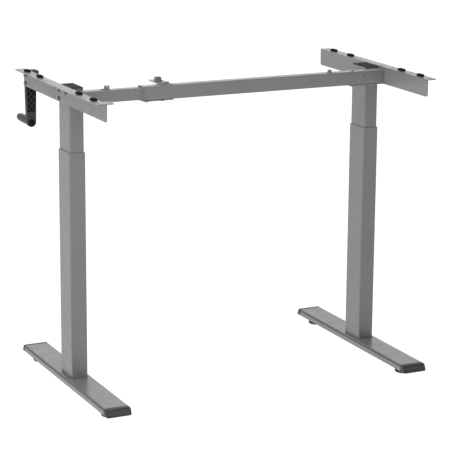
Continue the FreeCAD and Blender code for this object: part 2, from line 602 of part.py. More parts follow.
def top_bolt(x, top, wall, flats, height):
    """Bolt with a washer on top of the crossbar. Its shank ends in the wall of the tube."""
    washer_thickness = 1.6
    washer = rod(flats * 0.6, V(0, 0, 0), V(0, 0, washer_thickness))
    head = hexagon(flats, washer_thickness, height)
    crown = Part.makeCone(flats * 0.47 + height, flats * 0.47, height, V(0, 0, 0))
    shank = rod(TOP_BOLT_RADIUS, V(0, 0, -wall), V(0, 0, 0))
    bolt = head.common(crown).fuse([washer, shank]).removeSplitter()
    return bolt.translate(V(x, TOP_BOLT_Y, top))


def rivet(x, top, wall):
    """Round headed rivet on top of the crossbar, ending in the wall of the tube."""
    head = rod(5.0, V(0, 0, 0), V(0, 0, 2.8))
    head = head.makeFillet(2.0, [e for e in head.Edges if e.BoundBox.ZMin > 2.7])
    shank = rod(RIVET_RADIUS, V(0, 0, -wall), V(0, 0, 0))
    return head.fuse(shank).removeSplitter().translate(V(x, TOP_BOLT_Y, top))


def top_hole(x, radius):
    return rod(radius, V(x, TOP_BOLT_Y, BAR_MIDDLE_Z), V(x, TOP_BOLT_Y, BAR_TOP + 1))


def hex_rod():
    """Hexagon bar of the cross shaft, driven at the right leg."""
    x1 = LEG_X - 12.0
    x0 = x1 - HEX_ROD_LENGTH
    shaft = lying_along_x(hexagon(HEX_FLATS, x0, LEG_X - 24.0)).translate(V(0, 0, CRANK_Z))
    journal = rod(SHAFT_RADIUS, V(LEG_X - 24.0, 0, CRANK_Z), V(LEG_X - 16.2, 0, CRANK_Z))
    tip = rod(3.0, V(LEG_X - 16.2, 0, CRANK_Z), V(LEG_X - 9.6, 0, CRANK_Z))
    return shaft.fuse([journal, tip]).removeSplitter()


def hex_sleeve():
    """Tube of the cross shaft with a hexagon bore, driven at the left leg."""
    x0 = -LEG_X + 24.0
    x1 = x0 + HEX_SLEEVE_LENGTH
    tube = rod(8.0, V(x0, 0, CRANK_Z), V(x1, 0, CRANK_Z))
    bore = lying_along_x(hexagon(HEX_FLATS + 0.16, x0 + 8, x1 + 1)).translate(V(0, 0, CRANK_Z))
    journal = rod(SHAFT_RADIUS, V(-LEG_X + 16.2, 0, CRANK_Z), V(x0, 0, CRANK_Z))
    tip = rod(3.0, V(-LEG_X + 9.6, 0, CRANK_Z), V(-LEG_X + 16.2, 0, CRANK_Z))
    return tube.cut(bore).fuse([journal, tip]).removeSplitter()


def crank_shaft():
    """Steel shaft from the gearbox to the crank, flatted where the arm grips it."""
    front_end = ARM_BACK - ARM_THICKNESS + 3.0
    shaft = rod(SHAFT_RADIUS, V(0, front_end, CRANK_Z), V(0, -16.2, CRANK_Z))
    tip = rod(3.0, V(0, -16.2, CRANK_Z), V(0, -9.6, CRANK_Z))
    key = block(-6, 6, front_end - 1, ARM_BACK, CRANK_Z + 3.5, CRANK_Z + 6)
    return shaft.fuse(tip).cut(key).removeSplitter().translate(V(LEG_X, 0, 0))


def crank_bracket():
    """Plastic bearing block for the crank shaft, screwed to the web at its front end."""
    y0 = -BEAM_LENGTH / 2
    body = block(-13.0, WEB_INNER, y0, y0 + 22, BOLT_ROWS[1] - 7, BEAM_TOP - SHEET - 1)
    body = body.makeFillet(5.0, [e for e in body.Edges if e.BoundBox.XMax < -12 and e.BoundBox.YLength > 5])
    body = body.cut(rod(SHAFT_RADIUS + 0.06, V(0, y0 - 1, CRANK_Z), V(0, y0 + 23, CRANK_Z)))
    for y, z in web_hole_places()[-2:]:
        body = body.cut(rod(3.0, V(WEB_INNER - 11, y, z), V(WEB_INNER + 1, y, z)))
    return body.translate(V(LEG_X, 0, 0))


def arm_outline(inset):
    """Tapering arm between two round ends, in the XZ plane at Y = 0, as a face."""
    top, low = HUB_RADIUS - inset, ARM_END_RADIUS - inset
    lean = math.asin((top - low) / CRANK_ARM)
    c, s = math.cos(lean), math.sin(lean)
    z_low = CRANK_Z - CRANK_ARM
    right_top, right_low = V(top * c, 0, CRANK_Z - top * s), V(low * c, 0, z_low - low * s)
    left_low, left_top = V(-low * c, 0, z_low - low * s), V(-top * c, 0, CRANK_Z - top * s)
    edges = [Part.makeLine(right_top, right_low),
             Part.Arc(right_low, V(0, 0, z_low - low), left_low).toShape(),
             Part.makeLine(left_low, left_top),
             Part.Arc(left_top, V(0, 0, CRANK_Z + top), right_top).toShape()]
    return Part.Face(Part.Wire(edges))


def crank_arm():
    """Moulded arm with a ribbed pocket in the face that looks towards the desk."""
    y1 = ARM_BACK
    y0 = y1 - ARM_THICKNESS
    arm = arm_outline(0).extrude(V(0, ARM_THICKNESS, 0)).translate(V(0, y0, 0))
    rims = [e for e in arm.Edges if abs(e.BoundBox.YMax - y0) < 0.01]
    arm = arm.makeFillet(3.0, rims)
    depth, wall = 10.0, 2.2
    z_high, z_low = CRANK_Z - 15.0, CRANK_Z - 96.0
    pocket = arm_outline(wall).extrude(V(0, depth + 1, 0)).translate(V(0, y1 - depth, 0))
    pocket = pocket.common(block(-30, 30, y1 - depth, y1 + 1, z_low, z_high))
    ribs = []
    step = 17.0
    for i in range(-1, 8):
        for side in (-1, 1):
            rib = block(-0.8, 0.8, y1 - depth, y1 - 1.0, -40, 40)
            rib.rotate(V(0, 0, 0), V(0, 1, 0), 42 * side)
            ribs.append(rib.translate(V(0, 0, z_low + i * step)).common(pocket))
    arm = arm.cut(pocket)
    arm = arm.fuse([rib for rib in ribs if rib.Volume > 1]).removeSplitter()
    z_grip = CRANK_Z - CRANK_ARM
    recess = rod(PIN_HEAD_RADIUS + 2, V(0, y1 - PIN_RECESS, z_grip), V(0, y1 + 1, z_grip))
    arm = arm.cut(recess).cut(rod(PIN_RADIUS, V(0, y0 - 1, z_grip), V(0, y1 + 1, z_grip)))
    shaft = rod(SHAFT_RADIUS, V(0, y0 + 3, CRANK_Z), V(0, y1 + 1, CRANK_Z))
    shaft = shaft.cut(block(-6, 6, y0, y1 + 2, CRANK_Z + 3.5, CRANK_Z + 6))
    return arm.cut(shaft).translate(V(LEG_X, 0, 0))


def grip_pin():
    """Pin that holds the grip, with its head in the arm."""
    z = CRANK_Z - CRANK_ARM
    front_face = ARM_BACK - ARM_THICKNESS
    end = front_face - 5.0 - GRIP_LENGTH + 7.0
    seat = ARM_BACK - PIN_RECESS
    pin = rod(PIN_RADIUS, V(0, end, z), V(0, seat, z))
    head = rod(PIN_HEAD_RADIUS, V(0, seat, z), V(0, seat + 2.4, z))
    collar = rod(6.5, V(0, front_face - 4.7, z), V(0, front_face, z))
    return pin.fuse([head, collar]).removeSplitter().translate(V(LEG_X, 0, 0))


def crank_grip():
    """Grip with a domed end, free to turn on its pin."""
    y = ARM_BACK - ARM_THICKNESS - 5.0
    bore, bore_depth, dome = PIN_RADIUS + 0.07, GRIP_LENGTH - 6.0, 7.0
    swell = [(0.78, 0), (0.93, 3), (0.97, 12), (1.0, GRIP_LENGTH / 2), (0.97, GRIP_LENGTH - dome)]
    points = [V(GRIP_RADIUS * part, y - along, 0) for part, along in swell]
    curve = Part.BSplineCurve()
    curve.interpolate(points)
    rim, tip = points[-1], V(0, y - GRIP_LENGTH, 0)
    ball = (rim.x ** 2 + dome ** 2) / (2 * dome)
    half_way = math.asin(rim.x / ball) / 2
    middle = V(ball * math.sin(half_way), tip.y + ball * (1 - math.cos(half_way)), 0)
    corners = [tip, V(0, y - bore_depth, 0), V(bore, y - bore_depth, 0), V(bore, y, 0), points[0]]
    edges = [curve.toShape(), Part.Arc(rim, middle, tip).toShape()]
    edges += [Part.makeLine(a, b) for a, b in zip(corners, corners[1:])]
    grip = Part.Face(Part.Wire(edges)).revolve(V(0, 0, 0), V(0, 1, 0), 360)
    return grip.translate(V(LEG_X, 0, CRANK_Z - CRANK_ARM))


# ---- whole frame -------------------------------------------------------------------------------
def on_right(shape):
    return shape.copy().translate(V(LEG_X, 0, 0))


def on_left(shape):
    """Left leg piece: the right one mirrored, so the outer side is -X."""
    return shape.mirror(V(0, 0, 0), V(1, 0, 0)).translate(V(-LEG_X, 0, 0))


def turned_to_left(shape):
    """Left side piece that is the right one turned half round, front to back."""
    return shape.copy().rotate(V(0, 0, 0), V(0, 0, 1), 180).translate(V(-LEG_X, 0, 0))


def build():
    nodes = {}
    for side, put in (("right", on_right), ("left", on_left)):
        crank_side = side == "right"
        nodes[side + "_foot_beam"] = put(foot_beam())
        nodes[side + "_foot_rear_cap"] = put(foot_cap())
        nodes[side + "_foot_front_cap"] = put(front(foot_cap()))
        nodes[side + "_front_glide"] = put(glide(-GLIDE_Y))
        nodes[side + "_rear_glide"] = put(glide(GLIDE_Y))
        nodes[side + "_base_bolts"] = put(base_bolts())
        nodes[side + "_lower_leg"] = put(lower_leg())
        nodes[side + "_guide_bush"] = put(guide_bush())
        nodes[side + "_nut_tube"] = put(nut_tube())
        nodes[side + "_lift_nut"] = put(lift_nut())
        head_put = on_right if crank_side else turned_to_left
        nodes[side + "_upper_tube"] = head_put(upper_tube(crank_side))
        nodes[side + "_slide_shoe"] = put(slide_shoe())
        nodes[side + "_top_cap"] = put(top_cap())
        nodes[side + "_gearbox_housing"] = head_put(gearbox_housing(crank_side))
        nodes[side + "_gearbox_bearings"] = head_put(gearbox_bearings(crank_side))
        nodes[side + "_lead_screw"] = put(lead_screw())
        nodes[side + "_crown_gear"] = put(crown_gear())
        nodes[side + "_cross_pinion"] = put(cross_pinion())
        nodes[side + "_beam_pads"] = put(beam_pads())
        nodes[side + "_end_bracket"] = put(end_bracket())
    nodes["right_side_beam"] = on_right(side_beam(True))
    nodes["left_side_beam"] = turned_to_left(side_beam(False))
    bracket_screws = web_bolts(web_hole_places()[-2:], 10.0)
    top_of_inner = BAR_TOP - (BAR_HEIGHT - INNER_BAR_HEIGHT) / 2
    right_bolts = web_bolts(web_bolt_places(), 12.0) + bracket_screws + bracket_bolts(9.0)
    right_bolts = [on_right(bolt) for bolt in right_bolts]
    right_bolts.append(top_bolt(INNER_TOP_BOLT_X, top_of_inner, INNER_BAR_WALL, 13.0, 10.5))
    right_bolts.append(rivet(INNER_RIVET_X, top_of_inner, INNER_BAR_WALL))
    nodes["right_frame_bolts"] = Part.makeCompound(right_bolts)
    left_bolts = [turned_to_left(bolt) for bolt in web_bolts(web_bolt_places(), 12.0)]
    left_bolts += [on_left(bolt) for bolt in bracket_bolts(6.5)] + support_screws()
    left_bolts.append(top_bolt(OUTER_TOP_BOLT_X, BAR_TOP, BAR_WALL, 11.0, 7.5))
    left_bolts.append(rivet(OUTER_RIVET_X, BAR_TOP, BAR_WALL))
    face = V(FACE_SCREW_X, BAR_FRONT + BAR_DEPTH, FACE_SCREW_Z)
    face_screw = socket_screw(M4, BAR_WALL, face, V(0, -1, 0))
    nodes["left_frame_bolts"] = Part.makeCompound(left_bolts + [face_screw])
    nodes["crossbar_inner_tube"] = crossbar_inner()
    nodes["crossbar_packing_strip"] = packing_strip()
    nodes["crossbar_outer_tube"] = crossbar_outer()
    nodes["crossbar_collar"] = crossbar_collar()
    nodes["crossbar_clamp_plate"] = clamp_plate()
    nodes["crossbar_clamp_bolts"] = clamp_bolts()
    nodes["middle_support_tab"] = middle_support()
    nodes["middle_support_pad"] = middle_support_pad()
    nodes["cross_shaft_hex_rod"] = hex_rod()
    nodes["cross_shaft_sleeve"] = hex_sleeve()
    nodes["crank_shaft"] = crank_shaft()
    nodes["crank_pinion"] = on_right(crank_pinion())
    nodes["crank_bearing_block"] = crank_bracket()
    nodes["crank_arm"] = crank_arm()
    nodes["crank_grip_pin"] = grip_pin()
    nodes["crank_grip"] = crank_grip()
    return nodes


def main():
    os.makedirs("parts", exist_ok=True)
    for name, shape in build().items():
        shape.exportStep("parts/" + name + ".step")
        print(name, "solids", len(shape.Solids), "valid", shape.isValid(), "volume", round(shape.Volume))


main()
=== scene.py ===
"""Looks of the crank desk frame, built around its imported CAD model.

Metres, in the frame of the CAD: +Z up, the floor at 0, the user at -Y and the crank on the +X leg.
"""
import json
import math

import bmesh
import bpy
from mathutils import Matrix, Vector


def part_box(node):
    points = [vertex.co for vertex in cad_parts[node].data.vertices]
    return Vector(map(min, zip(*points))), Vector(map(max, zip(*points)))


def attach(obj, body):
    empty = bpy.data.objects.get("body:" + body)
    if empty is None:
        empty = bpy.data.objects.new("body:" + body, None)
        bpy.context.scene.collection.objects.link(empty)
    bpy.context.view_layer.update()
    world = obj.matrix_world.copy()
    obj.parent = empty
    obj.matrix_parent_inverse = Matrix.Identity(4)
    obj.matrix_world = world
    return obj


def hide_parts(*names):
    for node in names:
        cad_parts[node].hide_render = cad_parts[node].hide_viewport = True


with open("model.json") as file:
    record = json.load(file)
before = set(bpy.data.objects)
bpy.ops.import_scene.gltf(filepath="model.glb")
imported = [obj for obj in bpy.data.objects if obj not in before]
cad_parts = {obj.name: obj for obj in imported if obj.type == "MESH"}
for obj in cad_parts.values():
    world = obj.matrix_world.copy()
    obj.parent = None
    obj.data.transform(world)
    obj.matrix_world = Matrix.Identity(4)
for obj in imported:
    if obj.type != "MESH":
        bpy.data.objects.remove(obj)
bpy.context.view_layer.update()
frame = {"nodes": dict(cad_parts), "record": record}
scene = bpy.context.scene
MM = 0.001
SIDES = ("right", "left")
ENDS = {"rear": 1, "front": -1}

# ---- camera, floor and light -------------------------------------------------------------------
CAMERA_PLACE = Vector((2.1849, 4.5620, 1.6505))
CAMERA_YAW, CAMERA_DIP, CAMERA_ROLL = math.radians(25.674), math.radians(13.86), -0.0071
CAMERA_LENS, CAMERA_SENSOR = 152.36, 36.0
WORLD_LIGHT = 0.185
# name, place, point it faces, width, height, watts
LIGHTS = (
    ("key", (1.5, 1.6, 0.95), (0.45, 0.0, 0.6), 0.9, 1.5, 18),
    ("overhead", (1.0, 0.3, 2.7), (0.35, 0.0, 0.3), 2.4, 2.0, 76),
    ("back", (-2.2, -4.6, 1.7), (0.0, 0.0, 0.3), 6.0, 2.8, 62),
)
FLOOR_HALF = 30.0
FLOOR_GLOW, FLOOR_COLOUR = 1.02, 0.15


def add_camera():
    data = bpy.data.cameras.new("camera")
    data.lens, data.sensor_width = CAMERA_LENS, CAMERA_SENSOR
    camera = bpy.data.objects.new("camera", data)
    scene.collection.objects.link(camera)
    look = Vector((-math.sin(CAMERA_YAW) * math.cos(CAMERA_DIP),
                   -math.cos(CAMERA_YAW) * math.cos(CAMERA_DIP), -math.sin(CAMERA_DIP)))
    roll = Matrix.Rotation(CAMERA_ROLL, 3, look)
    camera.rotation_mode = "QUATERNION"
    camera.rotation_quaternion = (roll @ look.to_track_quat("-Z", "Y").to_matrix()).to_quaternion()
    camera.location = CAMERA_PLACE
    scene.camera = camera


def add_area_light(name, place, target, width, height, power):
    data = bpy.data.lights.new(name, "AREA")
    data.shape, data.size, data.size_y, data.energy = "RECTANGLE", width, height, power
    light = bpy.data.objects.new(name, data)
    scene.collection.objects.link(light)
    light.location = place
    light.rotation_mode = "QUATERNION"
    light.rotation_quaternion = (Vector(target) - Vector(place)).to_track_quat("-Z", "Y")
    light.visible_camera = False


def add_world():
    world = bpy.data.worlds.new("studio")
    world.use_nodes = True
    background = world.node_tree.nodes["Background"]
    background.inputs["Color"].default_value = (1, 1, 1, 1)
    background.inputs["Strength"].default_value = WORLD_LIGHT
    scene.world = world
    scene.view_settings.view_transform = "Standard"


def add_floor():
    data = bpy.data.meshes.new("floor")
    corners = [(x * FLOOR_HALF, y * FLOOR_HALF, 0.0) for x, y in ((-1, -1), (1, -1), (1, 1), (-1, 1))]
    data.from_pydata(corners, [], [(0, 1, 2, 3)])
    floor = bpy.data.objects.new("floor", data)
    scene.collection.objects.link(floor)
    pale = bpy.data.materials.new("pale_floor")
    pale.use_nodes = True
    shader = pale.node_tree.nodes["Principled BSDF"]
    shader.inputs["Base Color"].default_value = (FLOOR_COLOUR,) * 3 + (1,)
    shader.inputs["Roughness"].default_value = 0.9
    shader.inputs["Specular IOR Level"].default_value = 0.0
    shader.inputs["Emission Color"].default_value = (1, 1, 1, 1)
    shader.inputs["Emission Strength"].default_value = FLOOR_GLOW
    data.materials.append(pale)


# ---- materials ---------------------------------------------------------------------------------
MIX_A, MIX_B, MIX_RESULT = 6, 7, 2  # the colour sockets of a Mix node


def three(factor):
    """A factor for each colour channel."""
    return factor if isinstance(factor, tuple) else (factor,) * 3


class Surface:
    """Principled material with its nodes in metres of the object's own space."""

    def __init__(self, name, colour, roughness, metallic=0.0, specular=0.5):
        self.material = bpy.data.materials.new(name)
        self.material.use_nodes = True
        self.tree = self.material.node_tree
        self.shader = self.tree.nodes["Principled BSDF"]
        self.colour, self.roughness = colour, roughness
        self.set(self.shader, "Metallic", metallic)
        self.set(self.shader, "Specular IOR Level", specular)
        self.place = self.node("ShaderNodeTexCoord").outputs["Object"]
        self.colour_now = None
        self.rough_now = None
        self.normal = None

    def node(self, kind, **values):
        made = self.tree.nodes.new(kind)
        for key, value in values.items():
            setattr(made, key, value)
        return made

    def set(self, node, socket, value):
        node.inputs[socket].default_value = value

    def link(self, output, node, socket):
        self.tree.links.new(output, node.inputs[socket])

    def noise(self, size, detail=2.0, stretch=(1, 1, 1)):
        """Noise from 0 to 1 whose lumps are about size metres, longer along a stretched axis."""
        mapping = self.node("ShaderNodeMapping")
        self.link(self.place, mapping, "Vector")
        self.set(mapping, "Scale", [1.0 / s for s in stretch])
        noise = self.node("ShaderNodeTexNoise")
        self.link(mapping.outputs["Vector"], noise, "Vector")
        self.set(noise, "Scale", 1.0 / size)
        self.set(noise, "Detail", detail)
        return noise.outputs["Fac"]

    def cells(self, size):
        cells = self.node("ShaderNodeTexVoronoi")
        self.link(self.place, cells, "Vector")
        self.set(cells, "Scale", 1.0 / size)
        return cells.outputs["Distance"]

    def spread(self, value, low, high, start=0.3, end=0.7):
        """Value between start and end, spread over low to high."""
        spread = self.node("ShaderNodeMapRange")
        self.link(value, spread, "Value")
        for socket, number in (("From Min", start), ("From Max", end), ("To Min", low), ("To Max", high)):
            self.set(spread, socket, number)
        return spread.outputs["Result"]

    def tint(self, value, factor_low, factor_high, start=0.3, end=0.7):
        """Multiply the colour by a factor that follows the value. A second tint is averaged with
        the first."""
        dark = [c * f for c, f in zip(self.colour, three(factor_low))] + [1.0]
        light = [min(1.0, c * f) for c, f in zip(self.colour, three(factor_high))] + [1.0]
        mix = self.node("ShaderNodeMix", data_type="RGBA")
        self.link(self.spread(value, 0.0, 1.0, start, end), mix, "Factor")
        self.set(mix, MIX_A, dark)
        self.set(mix, MIX_B, light)
        if self.colour_now is None:
            self.colour_now = mix.outputs[MIX_RESULT]
            return
        both = self.node("ShaderNodeMix", data_type="RGBA")
        self.set(both, "Factor", 0.5)
        self.link(self.colour_now, both, MIX_A)
        self.link(mix.outputs[MIX_RESULT], both, MIX_B)
        self.colour_now = both.outputs[MIX_RESULT]

    def rough(self, value, change, start=0.3, end=0.7):
        low, high = self.roughness - change, self.roughness + change
        self.rough_now = self.spread(value, low, high, start, end)

    def bump(self, value, depth, strength=1.0):
        """Relief of the given depth in metres."""
        bump = self.node("ShaderNodeBump")
        self.set(bump, "Strength", strength)
        self.set(bump, "Distance", depth)
        self.link(value, bump, "Height")
        if self.normal is not None:
            self.link(self.normal, bump, "Normal")
        self.normal = bump.outputs["Normal"]

    def done(self):
        """Link what was built to the shader, and give the material."""
        self.link(self.colour_now, self.shader, "Base Color")
        self.link(self.rough_now, self.shader, "Roughness")
        if self.normal is not None:
            self.link(self.normal, self.shader, "Normal")
        return self.material


def powder_coat():
    """Satin grey powder coat: orange peel, fine flakes and a faint cloudiness."""
    s = Surface("powder_coat", (0.152, 0.153, 0.155), 0.37, metallic=0.1)
    s.set(s.shader, "Coat Weight", 0.18)
    s.set(s.shader, "Coat Roughness", 0.22)
    s.tint(s.noise(0.16, 3), 0.955, 1.045)
    s.tint(s.noise(0.0005, 1), 0.86, 1.14)
    s.rough(s.noise(0.03, 4), 0.05)
    s.bump(s.noise(0.0026, 2), 0.00005, 0.7)
    s.bump(s.noise(0.0007, 1), 0.00002, 0.6)
    return s.done()


def moulded(name, colour, roughness, grain=0.0007, depth=0.00004, specular=0.5):
    """Moulded plastic with a spark eroded grain, slight flow marks and rubbed spots."""
    s = Surface(name, colour, roughness, specular=specular)
    s.tint(s.noise(0.02, 4), 0.86, 1.12)
    s.tint(s.noise(0.0012, 2), 0.85, 1.18)
    s.rough(s.noise(0.012, 3), 0.08)
    s.bump(s.cells(grain), depth, 0.8)
    s.bump(s.noise(grain * 0.5, 2), depth * 0.5, 0.7)
    return s.done()


def rubber():
    """Black rubber with dusty patches."""
    s = Surface("rubber", (0.007, 0.007, 0.007), 0.9, specular=0.15)
    s.tint(s.noise(0.004, 3), 0.75, 1.5)
    s.tint(s.noise(0.0006, 2), 0.8, 1.25)
    s.rough(s.noise(0.003, 2), 0.08)
    s.bump(s.noise(0.0006, 3), 0.00005, 0.9)
    return s.done()


def metal(name, colour, roughness, along=(1, 1, 1), tint=0.08, depth=0.00001):
    """Bare or plated metal with fine lines from its making, and cloudy patches of the plating."""
    s = Surface(name, colour, roughness, metallic=1.0)
    s.tint(s.noise(0.006, 3), 1 - tint, 1 + tint)
    s.tint(s.noise(0.0004, 2, along), 0.82, 1.15)
    s.rough(s.noise(0.0015, 3, along), 0.1)
    s.bump(s.noise(0.0003, 2, along), depth, 0.7)
    return s.done()


def zinc_plating():
    """Bright zinc with the faint blue and yellow bloom of its passivation."""
    s = Surface("zinc_plating", (0.30, 0.31, 0.32), 0.38, metallic=1.0)
    s.tint(s.noise(0.004, 3), (1.05, 1.0, 0.9), (0.92, 0.98, 1.06))
    s.tint(s.noise(0.0008, 3), 0.85, 1.12)
    s.rough(s.noise(0.002, 3), 0.1)
    s.bump(s.noise(0.0005, 2), 0.00001, 0.7)
    return s.done()


def cast_metal():
    """Sand grey die casting, rough skinned."""
    s = Surface("cast_metal", (0.46, 0.46, 0.47), 0.55, metallic=1.0)
    s.tint(s.noise(0.008, 4), 0.85, 1.1)
    s.tint(s.noise(0.001, 2), 0.8, 1.15)
    s.rough(s.noise(0.004, 3), 0.1)
    s.bump(s.noise(0.0012, 3), 0.00008, 0.8)
    return s.done()


LINES_Z, LINES_X = (1, 1, 40), (40, 1, 1)
MATERIALS = {
    "grey_paint": powder_coat(),
    "dark_plastic": moulded("dark_plastic", (0.044, 0.045, 0.047), 0.52),
    "white_plastic": moulded("white_plastic", (0.62, 0.62, 0.6), 0.4, 0.001, 0.00002),
    "grey_plastic": moulded("grey_plastic", (0.13, 0.13, 0.13), 0.5),
    "zinc_steel": zinc_plating(),
    "bronze": metal("bronze", (0.55, 0.38, 0.17), 0.35),
    "cast_zinc": cast_metal(),
    "steel": metal("steel", (0.42, 0.42, 0.43), 0.3, LINES_X),
    "black_steel": metal("black_steel", (0.018, 0.018, 0.02), 0.45),
    "black_rubber": rubber(),
    "glide_plastic": moulded("glide_plastic", (0.022, 0.022, 0.023), 0.55, 0.0009),
    "crank_plastic": moulded("crank_plastic", (0.017, 0.017, 0.018), 0.52, 0.0008, 0.00005),
    "grip_plastic": moulded("grip_plastic", (0.052, 0.052, 0.054), 0.48, 0.0006, 0.00003),
}
DRAWN_STEEL = metal("drawn_steel", (0.42, 0.42, 0.43), 0.28, LINES_Z)
MATT_PLASTIC = moulded("matt_plastic", (0.020, 0.020, 0.021), 0.78, 0.0009, 0.00006, specular=0.18)
# painted shade: near black colour of the seam strips on the feet, standing in for the shade in their gap
SEAM_PAINTED_SHADE = moulded("seam_painted_shade", (0.010, 0.010, 0.011), 0.8, 0.0009, specular=0.1)


def finish_nodes():
    """Give each CAD node the material of its slot; the caps of the legs are duller."""
    slots = {part["node"]: part["material_slot"] for part in frame["record"]["subparts"]}
    for name, node in frame["nodes"].items():
        for place in node.material_slots:
            place.material = MATT_PLASTIC if name.endswith("_top_cap") else MATERIALS[slots[name]]


# ---- mesh tools --------------------------------------------------------------------------------
SHARP = math.radians(32)


def add_piece(name, mesh, body, slot, replaced=(), material=None):
    """Make an object of a bmesh, smooth it apart from its sharp edges, and fix it to its body."""
    bmesh.ops.recalc_face_normals(mesh, faces=mesh.faces)
    data = bpy.data.meshes.new(name)
    mesh.to_mesh(data)
    mesh.free()
    data.shade_smooth()
    data.set_sharp_from_angle(angle=SHARP)
    data.materials.append(material or MATERIALS[slot])
    piece = bpy.data.objects.new(name, data)
    scene.collection.objects.link(piece)
    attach(piece, body)
    if replaced:
        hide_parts(*replaced)


def place_part(mesh, verts, matrix):
    bmesh.ops.transform(mesh, matrix=matrix, verts=verts)


def lathe(mesh, profile, matrix, segments=48, wave=None):
    """Turn a closed or axis to axis profile of (radius, height) about Z. A wave changes the radius
    with the angle and the profile point."""
    rings = []
    for index, (radius, height) in enumerate(profile):
        if radius == 0:
            rings.append([mesh.verts.new((0, 0, height))])
            continue
        ring = []
        for step in range(segments):
            angle = 2 * math.pi * step / segments
            reach = radius + (wave(angle, index) if wave else 0.0)
            ring.append(mesh.verts.new((reach * math.cos(angle), reach * math.sin(angle), height)))
        rings.append(ring)
    for low, high in zip(rings, rings[1:]):
        for step in range(segments):
            after = (step + 1) % segments
            if len(low) == 1:
                mesh.faces.new((low[0], high[after], high[step]))
            elif len(high) == 1:
                mesh.faces.new((low[step], low[after], high[0]))
            else:
                mesh.faces.new((low[step], low[after], high[after], high[step]))
    place_part(mesh, [v for ring in rings for v in ring], matrix)


def skin(mesh, start, end):
    """Closed shell between two rings of verts. Returns its face at the end."""
    mesh.faces.new(start)
    face = mesh.faces.new(list(reversed(end)))
    for i in range(len(start)):
        j = (i + 1) % len(start)
        mesh.faces.new((start[i], start[j], end[j], end[i]))
    return face


CREST, FLANK = 0.2, 0.6  # shares of half a thread's pitch


def threaded_rod(mesh, radius, pitch, depth, low, high, matrix, starts=1, segments=24, steps=6):
    """Rod with a helical thread, closed by chamfered ends."""
    count = int(math.ceil((high - low) / pitch * steps * starts))
    end_radius = radius - 1.6 * depth
    heights = [low + depth + (high - low - 2 * depth) * i / count for i in range(count + 1)]
    profile = [(0.0, low), (end_radius, low)] + [(radius, h) for h in heights]
    profile += [(end_radius, high), (0.0, high)]

    def groove(angle, index):
        if not 2 <= index < len(profile) - 2:
            return 0.0
        phase = (starts * ((profile[index][1] - low) / (pitch * starts) - angle / (2 * math.pi))) % 1.0
        return -depth * max(0.0, min(1.0, (abs(phase - 0.5) * 2 - CREST) / FLANK))

    lathe(mesh, profile, matrix, segments, groove)


def edges_where(mesh, test):
    """Edges whose two ends pass the test."""
    return [e for e in mesh.edges if test(*[v.co for v in e.verts])]


def round_edges(mesh, edges, radius, segments):
    if edges:
        bmesh.ops.bevel(mesh, geom=edges, offset=radius, segments=segments, profile=0.5,
                        affect="EDGES", clamp_overlap=True)


def soft_block(low, high, corner, rim, segments=5):
    """Box with round upright corners and a smaller rounding round its top and bottom."""
    mesh = bmesh.new()
    bmesh.ops.create_cube(mesh, size=1.0)
    size, middle = Vector(high) - Vector(low), (Vector(high) + Vector(low)) / 2
    bmesh.ops.scale(mesh, vec=size, verts=mesh.verts)
    bmesh.ops.translate(mesh, vec=middle, verts=mesh.verts)
    round_edges(mesh, edges_where(mesh, lambda a, b: abs(a.z - b.z) > size.z / 2), corner, segments)
    for level in (high[2], low[2]):
        flat = edges_where(mesh, lambda a, b: abs(a.z - level) < 1e-6 and abs(b.z - level) < 1e-6)
        round_edges(mesh, flat, rim, 3)
    return mesh


def join_into(mesh, other):
    """Copy one bmesh into another as a separate shell."""
    twins = {v: mesh.verts.new(v.co) for v in other.verts}
    for face in other.faces:
        mesh.faces.new([twins[v] for v in face.verts])
    other.free()


# ---- feet --------------------------------------------------------------------------------------
CAP_CORNER, CORNER_STEPS = 4.4 * MM, 6
CAP_TOP = 12.5 * MM  # length of the cap along its top
CAP_RIM = 0.8 * MM
# width and rise of each step from the edge of the face inwards: frame, groove and middle field
FACE_STEPS = ((1.8 * MM, 0.0), (0.5 * MM, -1.3 * MM), (0.8 * MM, 0.0), (0.5 * MM, 1.0 * MM))
TUBE_WALL, PLUG_LENGTH = 2.1 * MM, 15 * MM


def round_section(half, bottom, top):
    """Rectangle in X and Z with round corners, as a ring of points."""
    inner, lower, upper = half - CAP_CORNER, bottom + CAP_CORNER, top - CAP_CORNER
    section = []
    for turn, (x, z) in enumerate(((inner, upper), (-inner, upper), (-inner, lower), (inner, lower))):
        for step in range(CORNER_STEPS + 1):
            angle = math.pi / 2 * (turn + step / CORNER_STEPS)
            section.append((x + CAP_CORNER * math.cos(angle), z + CAP_CORNER * math.sin(angle)))
    return section


